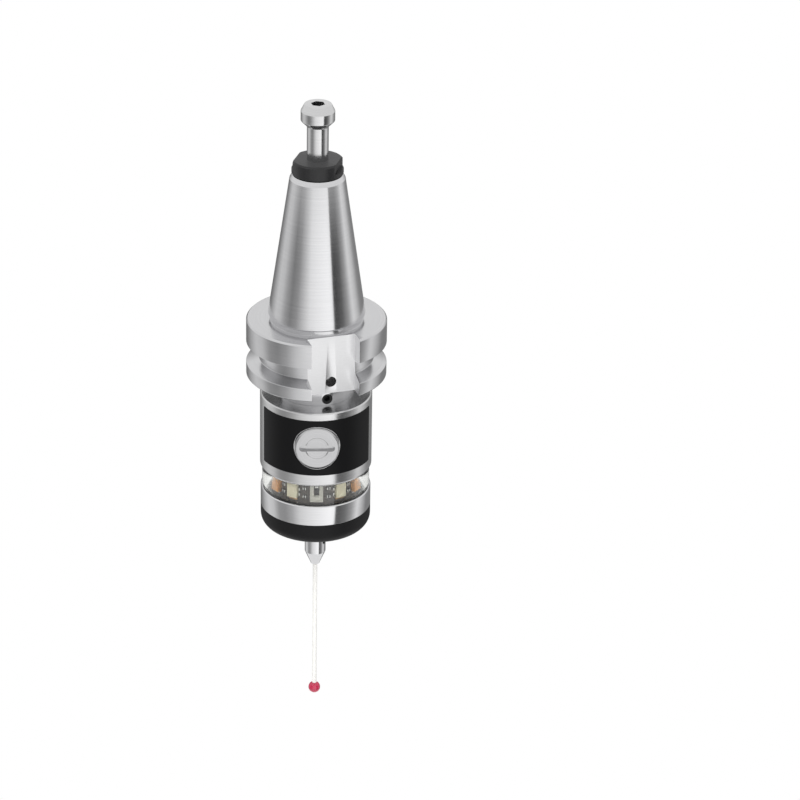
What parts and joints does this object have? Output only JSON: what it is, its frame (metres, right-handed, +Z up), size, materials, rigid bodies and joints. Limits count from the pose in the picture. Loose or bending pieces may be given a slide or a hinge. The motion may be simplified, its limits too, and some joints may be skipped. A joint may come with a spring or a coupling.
{
  "type": "edge finder",
  "caption": "Touch probe edge finder on a steep taper shank with pull stud, clear window ring and a slim ball stylus that lifts and tilts on contact.",
  "frame": {"origin": "on the tool's axis at the taper's gauge line", "axes": "+Z up the tool's axis to the pull stud, the drive slots face +Y and -Y"},
  "size_m": [0.046, 0.043, 0.2153],
  "materials": {
    "ground_steel": "ground and polished hardened steel",
    "stud_steel": "turned steel, bright stem and head, blackened collar",
    "black_steel": "black oxide",
    "satin_steel": "satin turned stainless steel",
    "spun_steel": "spun finish",
    "bright_steel": "bright turned stainless steel",
    "turned_steel": "as turned",
    "cell_steel": "nickel plated",
    "spring_steel": "drawn wire",
    "hard_steel": "hard and polished",
    "solder_metal": "tinned",
    "brass": "turned",
    "label_black": "satin black band",
    "black_rubber": "matt",
    "black_plastic": "moulded",
    "seat_plastic": "turned insulating plastic",
    "circuit_board": "dark solder mask",
    "chip_black": "moulded chip package",
    "lamp_white": "pale moulded package",
    "receiver_cream": "cream package",
    "emitter_amber": "amber package",
    "clear_window": "clear polycarbonate",
    "cover_black": "black anodised",
    "white_ceramic": "matt white ceramic",
    "ruby": "polished synthetic ruby"
  },
  "bodies": {
    "probe": {"taper_shank": "ground_steel", "pull_stud": "stud_steel", "clamp_screws": "black_steel", "centring_screws": "black_steel", "probe_housing": "satin_steel", "label_band": "label_black", "battery_cap": "spun_steel", "battery_cap_seal": "black_rubber", "battery_cells": "cell_steel", "battery_spring": "spring_steel", "battery_carrier": "black_plastic", "carrier_screws": "black_steel", "main_board": "circuit_board", "board_chips": "chip_black", "window_ring": "clear_window", "window_seals": "black_rubber", "sensor_board": "circuit_board", "status_lamps": "lamp_white", "signal_receivers": "receiver_cream", "infrared_emitters": "emitter_amber", "driver_chips": "chip_black", "board_passives": "solder_metal", "clamp_ring": "bright_steel", "mechanism_barrel": "turned_steel", "front_cover": "cover_black", "seat_ring": "seat_plastic", "seat_balls": "hard_steel", "spring_adjuster": "brass"},
    "spring_stage": {"preload_spring": "spring_steel"},
    "seal_stage": {"seal_diaphragm": "black_rubber"},
    "stylus": {"spider_hub": "turned_steel", "spider_rods": "hard_steel", "stylus_holder": "turned_steel", "stylus_body": "bright_steel", "stylus_stem": "white_ceramic", "stylus_ball": "ruby"}
  },
  "joints": [
    {"name": "stylus_lift", "type": "slide", "parent": "probe", "child": "spring_stage", "axis": [0, 0, 1], "range_m": [0, 0.004], "stiffness_N_per_m": 400, "springref_m": -0.006, "deforming": ["preload_spring"]},
    {"name": "stylus_tilt_front", "type": "hinge", "parent": "spring_stage", "child": "seal_stage", "pos_m": [0.00155, 0.00599, -0.06839], "axis": [-0.9681, 0.2504, 0], "range_deg": [0, 12], "stiffness_Nm_per_rad": 0.06, "springref_deg": -17.19, "deforming": ["seal_diaphragm"]},
    {"name": "stylus_tilt_side", "type": "hinge", "parent": "seal_stage", "child": "stylus", "pos_m": [0.00882, -0.00228, -0.06839], "axis": [0.2504, 0.9681, 0], "range_deg": [0, 12], "stiffness_Nm_per_rad": 0.06, "springref_deg": -17.19}
  ]
}
